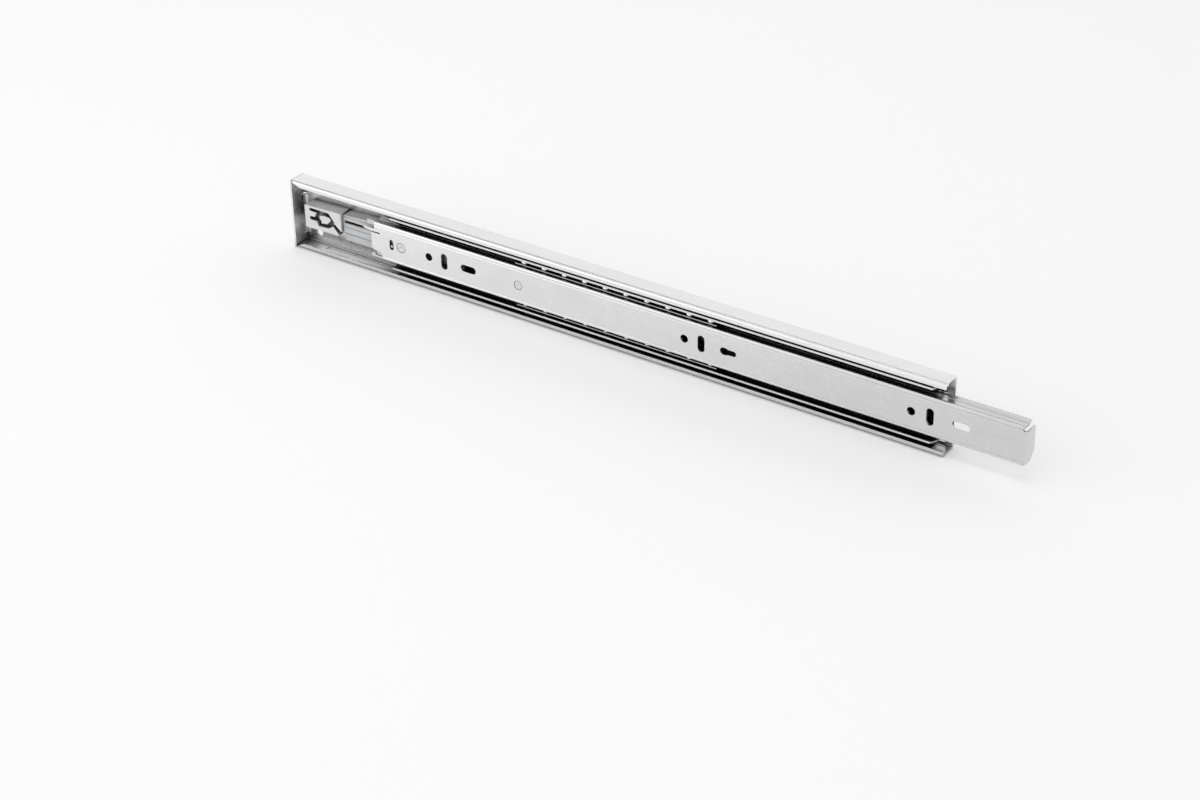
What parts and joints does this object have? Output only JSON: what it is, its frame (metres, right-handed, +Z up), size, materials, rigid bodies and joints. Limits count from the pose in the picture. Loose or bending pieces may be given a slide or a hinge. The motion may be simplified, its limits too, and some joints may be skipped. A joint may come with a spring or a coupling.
{
  "type": "cabinet drawer slide",
  "caption": "Full-extension telescopic ball-bearing slide for a cabinet drawer, with cabinet, middle and drawer members, ball retainers and a push-open latch at the rear end.",
  "frame": {"origin": "on the cabinet face, at half height, midway between the two round cabinet screw holes", "axes": "+X along the slide, the way the drawer opens; +Y out of the cabinet face, into the cabinet wall; +Z up"},
  "size_m": [0.4989, 0.0127, 0.0454],
  "materials": {
    "zinc_steel": "zinc-plated cold-rolled steel, satin",
    "middle_steel": "zinc-plated cold-rolled steel, satin",
    "drawer_steel": "zinc-plated cold-rolled steel, satin",
    "retainer_steel": "thin plated strip",
    "ball_steel": "polished bearing balls",
    "grey_plastic": "moulded acetal, light grey",
    "tray_plastic": "moulded acetal, light grey",
    "black_plastic": "moulded acetal, black",
    "spring_steel": "drawn spring wire",
    "pin_steel": "bright pins",
    "lever_steel": "stamped plated steel",
    "rivet_steel": "plated rivets with a dimple",
    "block_plastic": "moulded acetal",
    "bumper_plastic": "soft moulded plastic, light"
  },
  "bodies": {
    "cabinet_side": {"outer_member": "zinc_steel", "cam_block": "grey_plastic", "ejector_tray": "tray_plastic", "spring_pin": "pin_steel", "ejector_spring": "spring_steel"},
    "middle": {"intermediate_member": "middle_steel"},
    "drawer_side": {"inner_member": "drawer_steel", "pivot_rivet": "rivet_steel", "stop_rivet": "rivet_steel", "catch_block": "block_plastic", "rear_bumpers": "bumper_plastic"},
    "outer_top_row": {"outer_cage_top": "retainer_steel", "outer_balls_top": "ball_steel"},
    "outer_bottom_row": {"outer_cage_bottom": "retainer_steel", "outer_balls_bottom": "ball_steel"},
    "inner_rows": {"inner_cage": "retainer_steel", "inner_balls_top": "ball_steel", "inner_balls_bottom": "ball_steel"},
    "ejector": {"ejector_slider": "black_plastic"},
    "lever": {"follower_lever": "lever_steel", "lever_stud": "pin_steel", "follower_pin": "pin_steel"}
  },
  "joints": [
    {"name": "middle_slide", "type": "slide", "parent": "cabinet_side", "child": "middle", "axis": [1, 0, 0], "range_m": [0, 0.225]},
    {"name": "drawer_slide", "type": "slide", "parent": "middle", "child": "drawer_side", "axis": [1, 0, 0], "range_m": [-0.0488, 0.1762]},
    {"name": "outer_top_slide", "type": "slide", "parent": "cabinet_side", "child": "outer_top_row", "axis": [1, 0, 0], "range_m": [0, 0.1125]},
    {"name": "outer_bottom_slide", "type": "slide", "parent": "cabinet_side", "child": "outer_bottom_row", "axis": [1, 0, 0], "range_m": [0, 0.1125]},
    {"name": "inner_rows_slide", "type": "slide", "parent": "middle", "child": "inner_rows", "axis": [1, 0, 0], "range_m": [-0.0244, 0.0881]},
    {"name": "ejector_slide", "type": "slide", "parent": "cabinet_side", "child": "ejector", "axis": [1, 0, 0], "range_m": [-0.0488, 0], "stiffness_N_per_m": 150, "springref_m": 0.03, "deforming": ["ejector_spring"]},
    {"name": "lever_swing", "type": "hinge", "parent": "drawer_side", "child": "lever", "pos_m": [-0.16155, -0.011, 0], "axis": [0, 1, 0], "range_deg": [0, 27]}
  ],
  "couplings": [
    {"joint": "outer_top_slide", "follows": "middle_slide", "ratio": 0.5},
    {"joint": "outer_bottom_slide", "follows": "middle_slide", "ratio": 0.5},
    {"joint": "inner_rows_slide", "follows": "drawer_slide", "ratio": 0.5}
  ]
}
